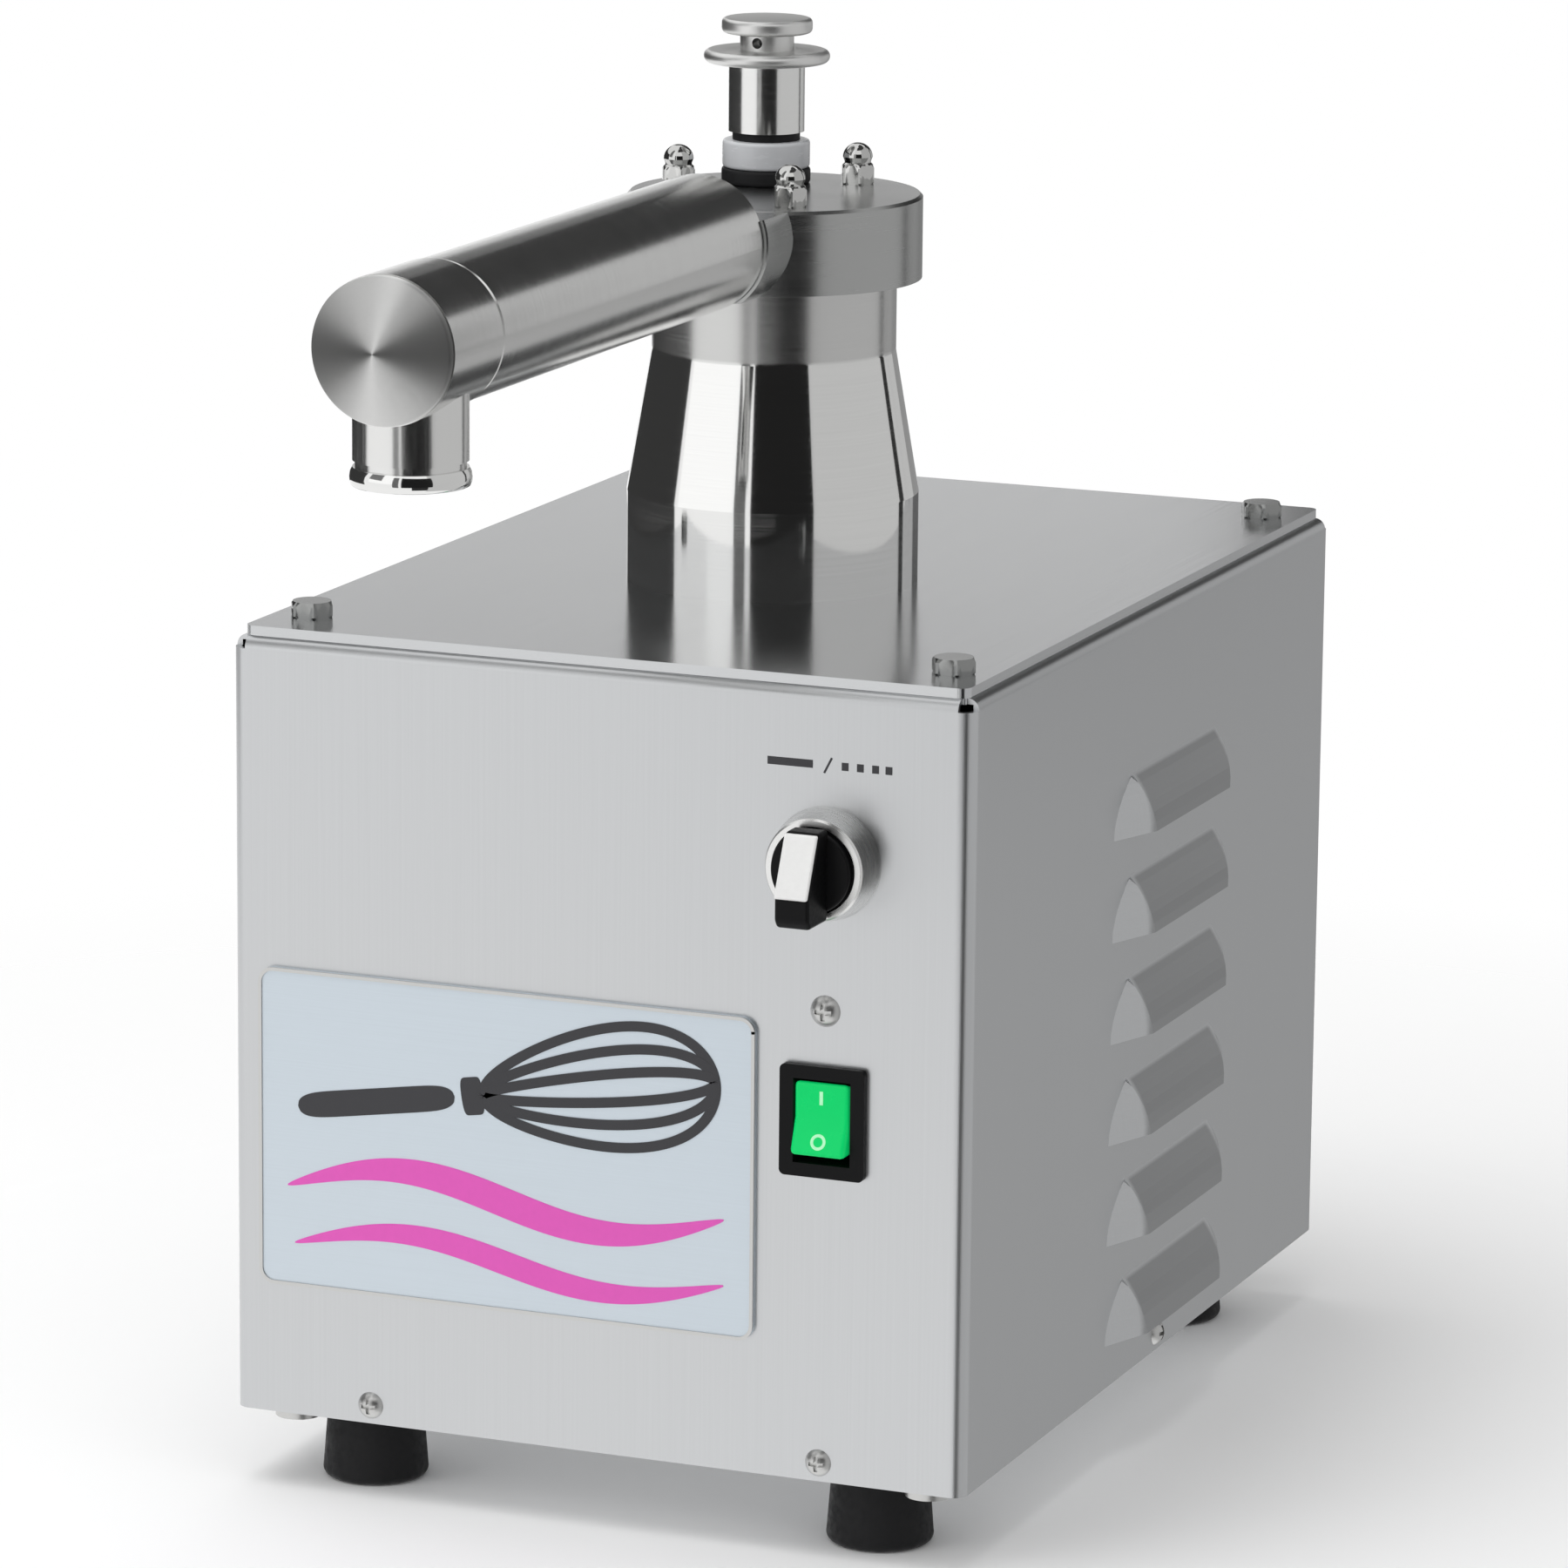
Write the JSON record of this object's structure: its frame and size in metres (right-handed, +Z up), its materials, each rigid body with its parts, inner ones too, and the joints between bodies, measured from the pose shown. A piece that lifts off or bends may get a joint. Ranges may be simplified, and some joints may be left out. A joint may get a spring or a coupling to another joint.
{
  "type": "whipped cream machine",
  "caption": "Table-top whipped cream machine: louvred sheet-steel housing on rubber feet, polished column with gear pump and air valve, and a long outlet arm with a swivelling spout.",
  "frame": {"origin": "middle of the machine's outline on the floor it stands on", "axes": "+X to the right when seen from the front panel, +Y to the back, +Z up; the outlet arm points along -Y"},
  "size_m": [0.2118, 0.421, 0.3686],
  "materials": {
    "sheet_steel": "brushed",
    "pan_steel": "satin",
    "plate_metal": "satin",
    "foot_rubber": "matte",
    "seal_rubber": "satin",
    "fastener_steel": "zinc plated",
    "polished_steel": "polished",
    "turned_steel": "turned",
    "black_plastic": "satin",
    "white_plastic": "satin",
    "green_plastic": "gloss",
    "clear_plastic": "translucent",
    "gear_plastic": "satin",
    "board_green": "matte",
    "motor_metal": "satin",
    "rotor_metal": "laminated",
    "capacitor_metal": "satin"
  },
  "bodies": {
    "machine": {"housing_shell": "sheet_steel", "top_plate": "sheet_steel", "base_pan": "pan_steel", "board_bracket": "pan_steel", "name_plate": "plate_metal", "foot_front_left": "foot_rubber", "foot_front_right": "foot_rubber", "foot_rear_left": "foot_rubber", "foot_rear_right": "foot_rubber", "dark_ring": "seal_rubber", "sleeve_seal": "seal_rubber", "shaft_seal": "seal_rubber", "foot_screws": "fastener_steel", "foot_nuts": "fastener_steel", "corner_bolts": "fastener_steel", "corner_nuts": "fastener_steel", "pan_bolts": "fastener_steel", "shell_screws": "fastener_steel", "panel_screw": "fastener_steel", "panel_nut": "fastener_steel", "column_screws": "fastener_steel", "lid_studs": "fastener_steel", "selector_nut": "fastener_steel", "motor_posts": "fastener_steel", "idler_pin": "fastener_steel", "lower_bearing": "fastener_steel", "upper_bearing": "fastener_steel", "column": "polished_steel", "pump_head": "polished_steel", "pump_lid": "polished_steel", "cap_nuts": "polished_steel", "outlet_tube": "polished_steel", "suction_nozzle": "polished_steel", "valve_sleeve": "polished_steel", "selector_bezel": "polished_steel", "selector_body": "black_plastic", "switch_frame": "black_plastic", "cord_gland": "black_plastic", "gland_nut": "black_plastic", "clear_ring": "clear_plastic", "labyrinth_insert": "gear_plastic", "control_board": "board_green", "motor_top_cover": "motor_metal", "motor_can": "motor_metal", "motor_bottom_cover": "motor_metal", "capacitor": "capacitor_metal"},
    "drive": {"drive_gear": "gear_plastic", "drive_shaft": "fastener_steel", "coupling": "motor_metal", "motor_rotor": "rotor_metal", "fan_wheel": "black_plastic"},
    "idler": {"driven_gear": "gear_plastic"},
    "selector": {"selector_knob": "black_plastic", "selector_marker": "white_plastic"},
    "rocker": {"rocker": "green_plastic"},
    "outlet": {"outlet_head": "polished_steel", "end_cap": "turned_steel"},
    "air_valve": {"valve_wheel": "polished_steel", "valve_cap": "polished_steel", "valve_needle": "fastener_steel"}
  },
  "joints": [
    {"name": "drive_spin", "type": "hinge", "parent": "machine", "child": "drive", "pos_m": [-0.001, 0.03605, 0.13], "axis": [0, 0, 1], "continuous": true},
    {"name": "idler_spin", "type": "hinge", "parent": "machine", "child": "idler", "pos_m": [0.02, 0.03605, 0.314], "axis": [0, 0, 1], "continuous": true},
    {"name": "selector_turn", "type": "hinge", "parent": "machine", "child": "selector", "pos_m": [0.0622, -0.08245, 0.1785], "axis": [0, -1, 0], "range_deg": [-45, 45]},
    {"name": "rocker_tip", "type": "hinge", "parent": "machine", "child": "rocker", "pos_m": [0.0622, -0.07945, 0.113], "axis": [1, 0, 0], "range_deg": [0, 20]},
    {"name": "outlet_swivel", "type": "hinge", "parent": "machine", "child": "outlet", "pos_m": [-0.001, -0.17565, 0.319], "axis": [0, -1, 0], "range_deg": [-45, 45]},
    {"name": "valve_turn", "type": "hinge", "parent": "machine", "child": "air_valve", "pos_m": [-0.0099, 0.05146, 0.36], "axis": [0, 0, 1], "range_deg": [0, 360]}
  ],
  "couplings": [
    {"joint": "idler_spin", "follows": "drive_spin", "ratio": -1}
  ]
}
